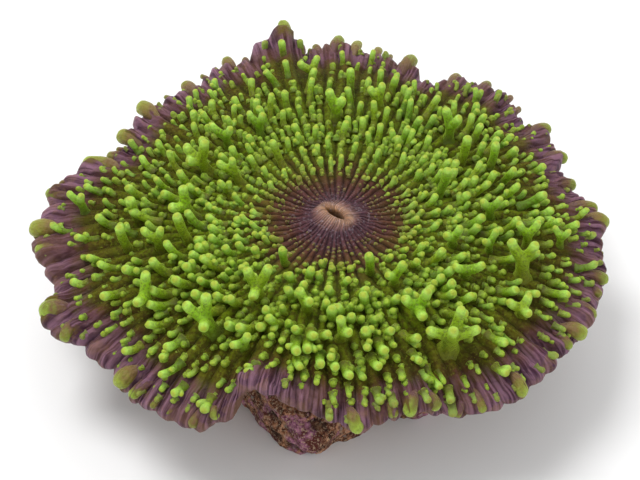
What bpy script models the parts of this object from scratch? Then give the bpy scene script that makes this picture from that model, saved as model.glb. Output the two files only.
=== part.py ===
"""Mushroom coral: one fleshy polyp with a wide disc, sitting on a loose piece of reef rock.

The polyp's disc is a turned profile that is then bent to the wavy outline of the margin.
Tentacles grow out of its faces, so that foot, column, disc and tentacles are one closed body.
The rock is a lumpy ball that is cut flat below, where it rests, and above, where the foot sits.

Lengths are in millimetres and bearings in degrees, counted from +X towards +Y.
The finished bodies are scaled to metres. The front of the coral faces -Y.
"""

import math
import random

import bmesh
import bpy
from mathutils import Vector, noise

NAME = "mushroom_coral"
MM = 0.001
SEED = 8

# Disc
DISC_RADIUS = 48.0
DISC_HEIGHT = 24.0
DISC_HALF_THICKNESS = 1.2
DISC_DISH = 3.2
DISC_DROOP = 7.0
EDGE_HEIGHT = DISC_HEIGHT + DISC_DISH - DISC_DROOP
EDGE_CURL = 4.0
SLOPE_STEP = 0.25
SECTORS = 96
SCALLOP = 0.7

# How many sectors share one face near the mouth, inside the tentacles, on the column and below
MOUTH_JOIN = 4
INNER_JOIN = 2
COLUMN_JOIN = 4
UNDER_JOIN = 2

# Edge of the disc: bearing, radius and height
MARGIN = (
    (3, 47.5, 21.0), (10, 45.5, 21.5), (18, 43.8, 21.0), (24, 45.6, 21.5), (32, 47.6, 22.0),
    (38, 46.0, 22.0), (48, 49.3, 22.5), (57, 48.2, 22.5), (66, 44.8, 22.5), (73, 47.5, 23.5),
    (82, 51.0, 22.5), (89, 52.7, 22.5), (96, 50.0, 23.0), (103, 51.0, 29.0), (111, 49.0, 23.5),
    (118, 49.8, 23.5), (125, 46.8, 23.5), (142, 46.8, 24.0), (151, 45.3, 22.0), (158, 44.8, 22.0),
    (164, 50.0, 23.0), (171, 52.2, 22.0), (181, 53.4, 20.5), (188, 51.5, 20.0), (193, 49.8, 19.5),
    (203, 53.0, 19.0), (210, 48.8, 18.5), (218, 47.0, 18.0), (226, 47.8, 17.5), (241, 46.4, 17.5),
    (245, 44.0, 19.5), (249, 40.0, 25.0), (254, 40.0, 24.5), (261, 40.0, 22.0), (268, 40.5, 20.0),
    (275, 41.8, 18.5), (282, 40.0, 19.0), (290, 41.4, 20.5), (294, 40.0, 16.5), (300, 43.0, 17.0),
    (309, 45.6, 18.5), (322, 45.6, 19.0), (335, 47.0, 19.5), (348, 47.5, 20.0), (356, 47.0, 20.5),
)

# Turned profile: radius and height above or below the middle of the disc's thickness
MOUTH_PROFILE = ((0.0, -2.6), (0.7, -2.4), (0.9, 2.2), (1.8, 3.3), (3.2, 2.6), (5.5, 1.6))
INNER_RINGS = (8.0, 10.0, 12.6, 15.4, 18.4, 21.5)
OUTER_RINGS = (24.9, 28.3, 31.7, 35.1, 38.5, 41.9, 45.3)
EDGE_PROFILE = ((47.2, 0.9), (48.0, 0.0), (47.0, -0.9))
UNDER_RINGS = (44.0, 36.0, 28.0)
COLUMN_PROFILE = ((22.0, -2.2), (19.0, -3.4), (17.2, -5.2), (17.6, -7.2), (20.4, -8.8), (21.0, -9.2))
COLUMN_BLEND = (2.0, 5.0)
EDGE_START = 45.0
AXIS_RADIUS = 0.01

# Mouth: a slit, longer one way than across
MOUTH_BEARING = -40.0
MOUTH_LONG = 1.9
MOUTH_NARROW = 0.55
MOUTH_SPREAD = 4.4
MOUTH_ZONE = 6.5

# Single tentacles
INNER_LENGTHS = (1.8, 2.8, 3.6)
OUTER_LENGTHS = (4.4, 5.2, 5.6, 5.6, 5.0, 3.8, 2.2)
TENTACLE_RADIUS = 1.05
TIP_SHARE = 0.55
SHAFT_SHARE = 0.72
STUB_LENGTH = 4.0
STUB_SHARE = 0.75
ELBOW_SHARE = 0.3
LEAN = 36.0
LEAN_SPREAD = 6.0
SIDE_SPREAD = 6.0
LENGTH_SPREAD = 0.14
COVER_SHARE = 0.8
CLEARANCE = 2.0

# Forked and tall tentacles: bearing, radius, girth and arms (outward, sideways, upward)
FORKS = (
    (152, 26.3, 1.6, ((0.2, 0.8, 8.0), (4.3, 1.6, 6.0), (3.0, 3.2, 4.0))),
    (136, 27.2, 1.3, ((-0.8, 0.2, 5.2), (3.1, 2.0, 5.0))),
    (151, 19.5, 1.3, ((1.5, 0.8, 6.0), (3.9, 2.1, 5.0))),
    (122, 25.7, 1.2, ((-0.4, -0.3, 5.5), (2.2, 1.6, 5.0))),
    (179, 23.3, 1.6, ((1.9, -0.6, 7.0), (4.3, 1.9, 4.0))),
    (176, 40.5, 1.2, ((0.4, 0.4, 4.6), (3.0, -0.2, 4.4))),
    (180, 32.2, 1.4, ((1.0, 0.0, 5.5),)),
    (124, 17.2, 1.1, ((2.1, 1.1, 5.0),)),
    (90, 24.9, 1.6, ((1.4, 1.3, 6.5), (0.6, -1.8, 5.0))),
    (96, 36.9, 1.3, ((1.8, -1.0, 4.8), (0.8, 3.0, 4.2))),
    (234, 22.5, 1.6, ((1.4, -1.2, 7.0), (-0.9, 2.0, 7.5), (3.8, 1.9, 3.5))),
    (231, 32.3, 2.0, ((0.3, -0.6, 8.5), (2.8, -3.4, 6.5), (3.8, 1.6, 4.6))),
    (211, 35.9, 1.6, ((-0.2, -0.2, 7.5), (3.4, 2.8, 4.4))),
    (190, 34.9, 1.3, ((0.9, 1.1, 6.5),)),
    (193, 30.0, 1.3, ((-0.2, 1.3, 6.0), (3.0, -0.3, 5.0))),
    (193, 25.5, 1.3, ((1.8, 0.2, 7.5),)),
    (231, 14.1, 1.1, ((1.4, 0.8, 5.5),)),
    (257, 24.2, 1.4, ((1.1, -1.2, 6.0), (2.6, 1.2, 5.0))),
    (243, 33.2, 1.3, ((1.6, 1.5, 5.0), (3.8, -0.6, 3.5))),
    (337, 34.3, 1.9, ((1.6, 0.8, 8.0), (-2.6, -0.8, 8.5))),
    (302, 26.4, 1.7, ((2.9, -0.2, 7.5), (0.9, -3.8, 6.0), (5.2, -2.6, 4.4))),
    (303, 35.5, 2.2, ((0.6, 1.6, 9.2), (3.0, -1.8, 8.0), (-1.0, -4.0, 5.6), (3.4, 3.4, 5.6))),
    (328, 25.8, 1.4, ((-0.8, -2.9, 4.2), (3.6, -0.2, 4.6))),
    (326, 37.9, 1.4, ((1.0, 0.2, 4.8), (-1.5, -2.9, 4.4), (2.6, -2.4, 3.2))),
    (349, 33.5, 1.3, ((1.6, 0.5, 6.0), (-2.0, -0.6, 6.0))),
    (352, 39.2, 1.1, ((1.4, -0.5, 4.5), (-1.4, 0.3, 4.5))),
    (343, 21.0, 1.3, ((1.4, -0.4, 5.0), (-1.0, -2.6, 4.2))),
    (302, 18.9, 1.3, ((1.4, 0.8, 6.0), (0.9, -2.4, 4.2))),
    (294, 15.0, 1.2, ((1.0, -1.0, 6.0),)),
    (271, 29.7, 1.4, ((1.0, -0.2, 6.0), (3.0, 1.4, 4.4))),
    (344, 27.3, 1.1, ((1.0, 0.2, 5.0), (-0.7, -2.1, 3.8))),
    (45, 29.1, 1.5, ((0.2, 1.2, 7.0), (1.0, -1.8, 6.0))),
    (73, 30.3, 1.3, ((0.9, 0.2, 6.0), (0.2, 2.8, 5.0))),
    (32, 27.0, 1.3, ((0.8, -0.4, 6.5),)),
    (25, 31.9, 1.2, ((0.8, 0.2, 6.0),)),
    (17, 19.7, 1.3, ((1.2, -1.0, 7.5),)),
    (1, 27.0, 1.3, ((1.6, -1.0, 5.5), (-1.8, -1.1, 5.0))),
    (18, 33.3, 1.1, ((1.4, -1.8, 4.5),)),
    (85, 32.6, 1.2, ((2.4, 0.2, 4.5),)),
)
TRUNK_LOW = 0.3
TRUNK_HIGH = 0.65
ARM_SHARE = 0.65
ARM_RADIUS = 1.1

# Rock
ROCK_TOP = 14.5
ROCK_MIDDLE = 3.0
ROCK_HALF_HEIGHT = 18.5
ROCK_SIDES = 40
ROCK_ROWS = 28
ROCK_LUMPS = ((12.0, 3.0), (5.5, 1.4))
ROCK_REACH = (
    (0, 27.0), (40, 28.5), (90, 26.5), (140, 28.0), (185, 27.0), (222, 26.5), (233, 28.0),
    (243, 29.5), (251, 32.0), (264, 32.4), (273, 29.5), (290, 27.5), (315, 26.5),
)
SHARP_EDGE = 40.0

# Finish
FLESH_COLOUR = (0.17, 0.27, 0.05)
FLESH_ROUGHNESS = 0.45
ROCK_COLOUR = (0.13, 0.08, 0.06)
ROCK_ROUGHNESS = 0.9


def smooth_step(share):
    """Ease a share from 0 to 1."""
    share = min(max(share, 0.0), 1.0)
    return share * share * (3.0 - 2.0 * share)


def around(table, bearing):
    """Values of a table whose first column is a bearing, eased between its rows all the way round."""
    bearing = bearing % 360.0
    for index, row in enumerate(table):
        start = table[index - 1][0]
        span = (row[0] - start) % 360.0
        ahead = (bearing - start) % 360.0
        if ahead <= span:
            ease = smooth_step(ahead / span)
            pairs = zip(table[index - 1][1:], row[1:])
            return [low + (high - low) * ease for low, high in pairs]
    return list(table[-1][1:])


def disc_point(radius, bearing):
    """Middle of the disc's thickness at a radius on the flat disc and a bearing."""
    share = radius / DISC_RADIUS
    edge_radius, edge_height = around(MARGIN, bearing)
    reach = DISC_RADIUS * share + (edge_radius - DISC_RADIUS) * share ** 2
    height = DISC_HEIGHT + DISC_DISH * share ** 2 - DISC_DROOP * share ** 4
    height += (edge_height - EDGE_HEIGHT) * share ** EDGE_CURL
    angle = math.radians(bearing)
    return Vector((reach * math.cos(angle), reach * math.sin(angle), height))


def disc_frame(radius, bearing):
    """Directions outward, sideways and up from the disc's surface at one place on it."""
    turn = math.degrees(SLOPE_STEP / max(radius, 1.0))
    before = disc_point(max(radius - SLOPE_STEP, 0.0), bearing)
    outward = (disc_point(radius + SLOPE_STEP, bearing) - before).normalized()
    sideways = disc_point(radius, bearing + turn) - disc_point(radius, bearing - turn)
    up = outward.cross(sideways).normalized()
    return outward, up.cross(outward), up


def mouth_point(place):
    """Stretch the rings of the mouth to a slit that lies across the middle of the disc."""
    radius = math.hypot(place.x, place.y)
    share = smooth_step(radius / MOUTH_SPREAD)
    long_way = MOUTH_LONG + (1.0 - MOUTH_LONG) * share
    narrow_way = MOUTH_NARROW + (1.0 - MOUTH_NARROW) * share
    angle = math.atan2(place.y, place.x) - math.radians(MOUTH_BEARING)
    along = radius * long_way * math.cos(angle)
    across = radius * narrow_way * math.sin(angle)
    bearing = math.radians(MOUTH_BEARING)
    x = along * math.cos(bearing) - across * math.sin(bearing)
    y = along * math.sin(bearing) + across * math.cos(bearing)
    return Vector((x, y, place.z))


def bend(place):
    """Bend a place on the flat turned body to the disc's real shape."""
    radius = math.hypot(place.x, place.y)
    bearing = math.degrees(math.atan2(place.y, place.x))
    if radius < MOUTH_ZONE and place.z > -COLUMN_BLEND[1]:
        place = mouth_point(place)
        return Vector((place.x, place.y, disc_point(radius, bearing).z + place.z))
    upright = Vector((place.x, place.y, DISC_HEIGHT + place.z))
    depth = -place.z
    straight = smooth_step((depth - COLUMN_BLEND[0]) / (COLUMN_BLEND[1] - COLUMN_BLEND[0]))
    if straight >= 1.0:
        return upright
    up = disc_frame(radius, bearing)[2]
    bent = disc_point(radius, bearing) + up * place.z
    return bent.lerp(upright, straight)


def turned_body():
    """Flat body of the polyp as a mesh, turned from its half profile."""
    points = list(MOUTH_PROFILE)
    points += [(ring, DISC_HALF_THICKNESS) for ring in INNER_RINGS + OUTER_RINGS]
    points += list(EDGE_PROFILE)
    points += [(ring, -DISC_HALF_THICKNESS) for ring in UNDER_RINGS]
    points += list(COLUMN_PROFILE)
    points.append((0.0, COLUMN_PROFILE[-1][1]))
    mesh = bpy.data.meshes.new("profile")
    edges = [(index, index + 1) for index in range(len(points) - 1)]
    mesh.from_pydata([(radius, 0.0, height) for radius, height in points], edges, [])
    profile = bpy.data.objects.new("profile", mesh)
    bpy.context.scene.collection.objects.link(profile)
    screw = profile.modifiers.new("turn", "SCREW")
    screw.axis = "Z"
    screw.steps = SECTORS
    screw.render_steps = SECTORS
    screw.use_merge_vertices = True
    screw.merge_threshold = 0.0001
    turned = profile.evaluated_get(bpy.context.evaluated_depsgraph_get())
    body = bmesh.new()
    body.from_mesh(turned.to_mesh())
    turned.to_mesh_clear()
    bpy.data.objects.remove(profile)
    bpy.data.meshes.remove(mesh)
    return body


def column_of(vertex):
    """Number of the sector line that a vertex lies on, or none for the axis."""
    if math.hypot(vertex.co.x, vertex.co.y) < AXIS_RADIUS:
        return None
    return round(math.atan2(vertex.co.y, vertex.co.x) / math.tau * SECTORS) % SECTORS


def sectors_joined(edge):
    """How many sectors become one face beside an edge that runs along the profile."""
    middle = (edge.verts[0].co + edge.verts[1].co) / 2.0
    radius = math.hypot(middle.x, middle.y)
    if radius < MOUTH_ZONE:
        return MOUTH_JOIN
    if middle.z > 0.0:
        return INNER_JOIN if radius < INNER_RINGS[-1] else 1
    if radius < COLUMN_PROFILE[0][0]:
        return COLUMN_JOIN
    return UNDER_JOIN if radius < EDGE_START else 1


def join_sectors(body):
    """Widen the faces where the body needs fewer of them."""
    spare = []
    for edge in body.edges:
        columns = {column_of(vertex) for vertex in edge.verts} - {None}
        if len(columns) != 1:
            continue
        if columns.pop() % sectors_joined(edge) != 0:
            spare.append(edge)
    bmesh.ops.dissolve_edges(body, edges=spare, use_verts=True)


def scallop(body):
    """Draw the edge of the disc out and in, sector by sector."""
    for vertex in body.verts:
        radius = math.hypot(vertex.co.x, vertex.co.y)
        if radius < EDGE_START:
            continue
        side = 1.0 if column_of(vertex) % 2 else -1.0
        share = (radius - EDGE_START) / (DISC_RADIUS - EDGE_START)
        stretch = 1.0 + side * SCALLOP * share / radius
        vertex.co.x *= stretch
        vertex.co.y *= stretch


def ring_tiles(body, rings):
    """Faces on top of the disc between neighbouring rings, as rows of (face, radius, bearing)."""
    rows = [[] for _ in rings[1:]]
    for face in body.faces:
        middle = face.calc_center_median()
        radius = math.hypot(middle.x, middle.y)
        if middle.z < 0.0:
            continue
        for row, inner, outer in zip(rows, rings, rings[1:]):
            if inner < radius < outer:
                row.append((face, radius, math.degrees(math.atan2(middle.y, middle.x)) % 360.0))
    return rows


def grow(body, face, end, radius):
    """Draw a face out to an end point, turn it to face that way and round it to a radius."""
    axis = (end - face.calc_center_median()).normalized()
    turn = face.normal.rotation_difference(axis)
    cap = bmesh.ops.extrude_discrete_faces(body, faces=[face])["faces"][0]
    start = cap.calc_center_median()
    for vertex in cap.verts:
        corner = turn @ (vertex.co - start)
        corner -= axis * corner.dot(axis)
        vertex.co = end + corner.normalized() * radius
    cap.normal_update()
    return cap


def grow_single(body, face, tip, radius):
    """Grow one tentacle from a face to its tip, with a rounded end."""
    shaft = grow(body, face, face.calc_center_median().lerp(tip, SHAFT_SHARE), radius)
    grow(body, shaft, tip, radius * TIP_SHARE)


def grow_stub(body, face, tip, radius):
    """Grow one short blunt tentacle."""
    grow(body, face, tip, radius * STUB_SHARE)


def grow_branch(body, face, tip, radius):
    """Grow an arm out of the side of a trunk, with an elbow."""
    start = face.calc_center_median()
    elbow = start.lerp(tip, ELBOW_SHARE) + face.normal * radius
    grow(body, grow(body, face, elbow, radius), tip, radius * STUB_SHARE)


def fork_frame(bearing, radius):
    """Foot of a fork on top of the disc and its directions outward, sideways and up."""
    angle = math.radians(bearing)
    outward = Vector((math.cos(angle), math.sin(angle), 0.0))
    sideways = Vector((-math.sin(angle), math.cos(angle), 0.0))
    foot = disc_point(radius, bearing) + Vector((0.0, 0.0, DISC_HALF_THICKNESS))
    return foot, outward, sideways, Vector((0.0, 0.0, 1.0))


def arm_tips(bearing, radius, arms):
    """Tips of a fork's arms."""
    foot, outward, sideways, up = fork_frame(bearing, radius)
    return [foot + outward * out + sideways * side + up * rise for out, side, rise in arms]


def grow_fork(body, face, girth, tips):
    """Grow a trunk from a face, then one arm from its top and the others from its sides."""
    if len(tips) == 1:
        grow_single(body, face, tips[0], girth)
        return
    arm = min(girth * ARM_SHARE, ARM_RADIUS)
    foot = face.calc_center_median()
    middle = sum(tips, Vector()) / len(tips)
    low = grow(body, face, foot.lerp(middle, TRUNK_LOW), girth)
    before = set(body.faces)
    high = grow(body, low, foot.lerp(middle, TRUNK_HIGH), girth)
    sides = [side for side in body.faces if side not in before and side is not high]
    for side in sides:
        side.normal_update()
    for tip in tips[1:]:
        heading = (tip - tips[0]).normalized()
        side = max(sides, key=lambda each: each.normal.dot(heading))
        sides.remove(side)
        grow_branch(body, side, tip, arm)
    grow_single(body, high, tips[0], arm)


def nearest_tile(tiles, place):
    """Tile whose middle lies nearest to a place, seen from above."""
    return min(tiles, key=lambda tile: (tile[0].calc_center_median() - place).xy.length)


def add_forks(body, tiles):
    """Grow the forked and tall tentacles and return the places that they cover."""
    covered = []
    for bearing, radius, girth, arms in FORKS:
        tips = arm_tips(bearing, radius, arms)
        free = [tile for tile in tiles if tile[0].is_valid]
        face = nearest_tile(free, disc_point(radius, bearing))[0]
        foot = face.calc_center_median()
        for tip in tips:
            covered.append((foot, foot.lerp(tip, COVER_SHARE)))
        grow_fork(body, face, girth, tips)
    return covered


def is_covered(place, covered):
    """Whether a place lies under or beside a forked tentacle."""
    for start, end in covered:
        line = (end - start).xy
        offset = (place - start).xy
        share = min(max(offset.dot(line) / line.length_squared, 0.0), 1.0)
        if (offset - line * share).length < CLEARANCE:
            return True
    return False


def add_tentacles(body, rows, lengths, slices, dice, covered):
    """Grow single tentacles on every other tile of each row, leaning outward."""
    for index, (row, length) in enumerate(zip(rows, lengths)):
        for face, radius, bearing in row:
            if not face.is_valid:
                continue
            sector = int(bearing / 360.0 * slices)
            reach = length * (1.0 + dice.uniform(-LENGTH_SPREAD, LENGTH_SPREAD))
            lean = math.radians(LEAN + dice.uniform(-LEAN_SPREAD, LEAN_SPREAD))
            tilt = math.radians(dice.uniform(-SIDE_SPREAD, SIDE_SPREAD))
            start = face.calc_center_median()
            outward, sideways, up = disc_frame(radius, bearing)
            heading = up * math.cos(lean) + outward * math.sin(lean) + sideways * math.sin(tilt)
            tip = start + heading.normalized() * reach
            if (sector + index) % 2 or is_covered(start, covered) or is_covered(tip, covered):
                continue
            if reach > STUB_LENGTH:
                grow_single(body, face, tip, TENTACLE_RADIUS)
            else:
                grow_stub(body, face, tip, TENTACLE_RADIUS)


def make_polyp():
    """Body of the polyp, with its mouth, tentacles, margin, column and foot."""
    dice = random.Random(SEED)
    body = turned_body()
    join_sectors(body)
    inner = ring_tiles(body, INNER_RINGS[2:])
    outer = ring_tiles(body, INNER_RINGS[-1:] + OUTER_RINGS)
    scallop(body)
    for vertex in body.verts:
        vertex.co = bend(vertex.co.copy())
    body.normal_update()
    tiles = [tile for row in inner + outer for tile in row]
    covered = add_forks(body, tiles)
    add_tentacles(body, inner, INNER_LENGTHS, SECTORS // 2, dice, covered)
    add_tentacles(body, outer, OUTER_LENGTHS, SECTORS, dice, covered)
    return body


def cut_flat(body, height, upward):
    """Cut a body off level at a height and close the cut with a flat face."""
    normal = (0.0, 0.0, 1.0 if upward else -1.0)
    geometry = body.verts[:] + body.edges[:] + body.faces[:]
    cut = bmesh.ops.bisect_plane(
        body, geom=geometry, plane_co=(0.0, 0.0, height), plane_no=normal, clear_outer=True
    )
    rim = [part for part in cut["geom_cut"] if isinstance(part, bmesh.types.BMEdge)]
    bmesh.ops.holes_fill(body, edges=rim, sides=0)


def make_rock():
    """Lumpy rock with a flat base and a flat seat for the foot."""
    body = bmesh.new()
    bmesh.ops.create_uvsphere(body, u_segments=ROCK_SIDES, v_segments=ROCK_ROWS, radius=1.0)
    for vertex in body.verts:
        way = vertex.co.normalized()
        reach = around(ROCK_REACH, math.degrees(math.atan2(way.y, way.x)))[0]
        place = Vector((way.x * reach, way.y * reach, way.z * ROCK_HALF_HEIGHT))
        place += way * sum(noise.noise(place / pitch) * depth for pitch, depth in ROCK_LUMPS)
        vertex.co = place + Vector((0.0, 0.0, ROCK_MIDDLE))
    cut_flat(body, ROCK_TOP, True)
    cut_flat(body, 0.0, False)
    return body


def material(name, colour, roughness):
    """Plain material of one piece."""
    made = bpy.data.materials.new(name)
    made.use_nodes = True
    shader = made.node_tree.nodes["Principled BSDF"]
    shader.inputs["Base Color"].default_value = (*colour, 1.0)
    shader.inputs["Roughness"].default_value = roughness
    return made


def finish(body, name, surface, collection):
    """Scale a body to metres, shade it and put it in the scene."""
    corners = [face for face in body.faces if len(face.verts) > 4]
    bmesh.ops.triangulate(body, faces=corners)
    bmesh.ops.recalc_face_normals(body, faces=body.faces)
    bmesh.ops.scale(body, vec=(MM, MM, MM), verts=body.verts)
    mesh = bpy.data.meshes.new(name)
    body.to_mesh(mesh)
    body.free()
    mesh.shade_smooth()
    mesh.set_sharp_from_angle(angle=math.radians(SHARP_EDGE))
    mesh.materials.append(surface)
    collection.objects.link(bpy.data.objects.new(name, mesh))


def main():
    """Clear the scene and build the coral."""
    for item in list(bpy.data.objects):
        bpy.data.objects.remove(item)
    collection = bpy.data.collections.new(NAME)
    bpy.context.scene.collection.children.link(collection)
    flesh = material("flesh", FLESH_COLOUR, FLESH_ROUGHNESS)
    stone = material("reef_rock", ROCK_COLOUR, ROCK_ROUGHNESS)
    finish(make_polyp(), "polyp", flesh, collection)
    finish(make_rock(), "rock", stone, collection)


main()
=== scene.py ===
import math

import bpy
import numpy as np
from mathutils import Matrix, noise


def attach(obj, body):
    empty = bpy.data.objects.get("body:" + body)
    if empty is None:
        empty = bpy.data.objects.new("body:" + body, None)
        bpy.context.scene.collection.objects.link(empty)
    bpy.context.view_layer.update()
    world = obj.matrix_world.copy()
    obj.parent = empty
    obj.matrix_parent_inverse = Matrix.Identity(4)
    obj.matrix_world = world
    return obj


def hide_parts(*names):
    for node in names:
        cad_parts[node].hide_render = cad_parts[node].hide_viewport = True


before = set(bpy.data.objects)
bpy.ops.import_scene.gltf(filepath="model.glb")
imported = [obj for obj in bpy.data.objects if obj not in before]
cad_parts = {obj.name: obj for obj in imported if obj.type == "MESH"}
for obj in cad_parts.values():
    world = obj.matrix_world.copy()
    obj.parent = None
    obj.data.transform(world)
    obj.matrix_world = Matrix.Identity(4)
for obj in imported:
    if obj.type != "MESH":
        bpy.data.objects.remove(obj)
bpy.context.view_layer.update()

# Looks of the mushroom coral: a fleshy disc with a slit mouth, ribs and tentacles on a reef rock.
# Lengths are in millimetres and bearings in degrees, counted from +X towards +Y, unless a name
# says otherwise. The front of the coral faces -Y. Meshes are scaled to metres when they are made.

MM = 0.001
SEED = 8
noise.seed_set(SEED)
FULL_TURN = 360.0

# Disc, as in the solids
DISC_RADIUS = 48.0
DISC_HEIGHT = 24.0
DISC_HALF_THICKNESS = 1.2
DISC_DISH = 3.2
DISC_DROOP = 7.0
EDGE_HEIGHT = DISC_HEIGHT + DISC_DISH - DISC_DROOP
EDGE_CURL = 4.0
SLOPE_STEP = 0.25
COLUMN_BLEND = (2.0, 5.0)
COLUMN_WRINKLE = 0.0125
COLUMN_WRINKLE_HEIGHTS = (-9.1, -2.6)
COLUMN_WRINKLE_START = 15.0
MARGIN = (
    (3, 47.5, 21), (10, 45.5, 21.5), (18, 43.8, 21), (24, 45.6, 21.5), (32, 47.6, 22),
    (38, 46, 22), (48, 49.3, 22.5), (57, 48.2, 22.5), (66, 44.8, 22.5), (73, 47.5, 23.5),
    (82, 51, 22.5), (89, 52.7, 22.5), (96, 50, 23), (103, 51, 29), (111, 49, 23.5),
    (118, 49.8, 23.5), (125, 46.8, 23.5), (142, 46.8, 24), (151, 45.3, 22), (158, 44.8, 22),
    (164, 50, 23), (171, 52.2, 22), (181, 53.4, 20.5), (188, 51.5, 20), (193, 49.8, 19.5),
    (203, 53, 19), (210, 48.8, 18.5), (218, 47, 18), (226, 47.8, 17.5), (241, 46.4, 17.5),
    (245, 44, 19.5), (249, 40, 25), (254, 40, 24.5), (261, 40, 22), (268, 40.5, 20),
    (275, 41.8, 18.5), (282, 40, 19), (290, 41.4, 20.5), (294, 40, 16.5), (300, 43, 17),
    (309, 45.6, 18.5), (322, 45.6, 19), (335, 47, 19.5), (348, 47.5, 20), (356, 47, 20.5),
)

# Mouth
MOUTH_BEARING = -40.0
MOUTH_LONG = 1.9
MOUTH_NARROW = 0.55
MOUTH_SPREAD = 4.4
MOUTH_ZONE = 6.5

# Half profile of the body: radius, height from the middle of the disc, rings to the next point
PROFILE = (
    (0.0, -2.6, 3), (0.6, -2.5, 2), (0.8, -1.8, 5), (0.9, 2.0, 3), (1.15, 2.85, 3),
    (1.8, 3.3, 4), (3.2, 2.6, 6), (6.0, 1.5, 6), (8.0, 1.2, 24), (21.5, 1.2, 28),
    (42.0, 1.2, 12), (46.0, 1.3, 4), (47.5, 0.8, 3), (48.0, 0.0, 3), (47.6, -0.7, 3),
    (46.5, -1.15, 6), (36.0, -1.2, 5), (25.0, -1.6, 4), (22.0, -2.2, 3), (19.0, -3.4, 3),
    (17.2, -5.2, 4), (17.6, -7.2, 3), (20.4, -8.8, 3), (21.0, -9.15, 2), (20.6, -9.2, 3),
    (0.0, -9.2, 0),
)
SECTORS = 96
COLUMNS = 7 * SECTORS

# Sideways drift of the radial rows: depth in rows, waves round, millimetres along
ROW_DRIFT = (0.25, 5.0, 7.0)
ROW_RIPPLE = (0.16, 17.0, 3.1)

# Ridges and lobes: radii where wide rows split in two, heights and how full their tops are
ROWS_SPLIT = (18.5, 23.5)
WIDE_RIDGES = (0.6, 1.15)
NARROW_RIDGES = (0.7, 1.1)
WIDE_LOBES = (0.35, 1.25)
NARROW_LOBES = (0.3, 1.0)
FULLNESS = 0.8
NARROW_LOBE_FULLNESS = 0.7
WIDE_LOBE_SHARE = 0.5
NARROW_LOBE_SHARE = 0.95
LOBE_LEVEL = 0.85

# Relief of the disc's skin, with the radii between which each part of it sets in
RIDGE_LEVEL = 0.6
RIDGE_RISES = ((0.5, 2.5, 9.0), (0.3, 18.0, 28.0))
MARGIN_ZONE = (41.0, 46.0)
LOBE_RISE = 1.15
KNOB_RISE = 0.9
STRIAE_PER_ROW = 5.0
STRIAE_BEND = (7.0, 6.0)
STRIAE_DEPTHS = (0.05, 0.17)
STRIAE_ZONE = (30.0, 44.0)
GRAIN_PITCH = 1.5
GRAIN_DEPTHS = (0.2, 0.3)
GRAIN_ZONE = (2.0, 5.0)
UNDER_DEPTH = 0.35
UNDER_ZONE = (24.0, 40.0)
EDGE_ZONE = (42.0, 47.5)
EDGE_REACHES = (0.75, 0.5)
EDGE_LOW = -1.3
EDGE_SHADE_RADIUS = 46.0
# Level and gain that turn the lobes' swell into the painted shade of the margin's creases
RIB_PAINTED_SHADE = (0.65, 0.7)
KNOB_GREEN = 0.55

# Folds: how many round, the pitch of their wander and its size
MOUTH_FOLDS = (52.0, 1.5, 3.0)
MOUTH_FOLD_DEPTH = 0.07
MOUTH_FOLDS_START = (1.1, 2.0)
MOUTH_FOLDS_END = (5.0, 7.0)
COLUMN_FOLDS = (30.0, 6.0, 4.0)

# Swollen green ends on the edge of the disc: bearing, half width in degrees, strength
KNOBS = (
    (161, 2.0, 1.2), (170, 1.5, 0.7), (179, 2.2, 1.2), (184, 1.4, 0.8), (200, 2.3, 1.2),
    (206, 1.4, 0.8), (222, 2.0, 1.1), (226, 1.2, 0.8), (240, 1.2, 0.5), (244, 1.2, 0.8),
    (274, 1.5, 1.1), (283, 1.2, 0.8), (287, 1.5, 1.1), (291, 1.4, 0.9), (303, 1.2, 0.6),
    (311, 1.5, 0.9), (327, 1.2, 0.7), (331, 1.8, 1.1), (337, 1.5, 0.6), (347, 1.5, 0.8),
    (3, 2.0, 1.0), (7, 1.5, 0.9), (16, 1.6, 0.8), (25, 1.6, 0.8), (34, 1.8, 0.8), (53, 1.5, 0.6),
    (60, 1.6, 0.6), (72, 1.9, 1.0), (80, 1.2, 0.5), (85, 1.4, 0.8), (89, 1.6, 0.9),
    (94, 1.1, 0.5), (102, 1.7, 1.0), (115, 1.6, 0.7), (127, 1.8, 0.6), (140, 2.0, 1.1),
    (148, 2.0, 1.0), (155, 1.5, 0.6),
)
KNOB_RADIUS = 46.5
KNOB_LENGTH = 2.3
KNOB_END = 46.9
KNOB_BACK = 1.3
KNOB_STARTS = (42.5, 44.0)
KNOB_SHORT_STARTS = (43.5, 44.8)
KNOB_SINK = 0.6
KNOB_LIFT = 0.95
KNOB_SPACE = 3.0
SMALL_KNOB = 0.75
SMALL_KNOB_SHARE = 0.6

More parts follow.
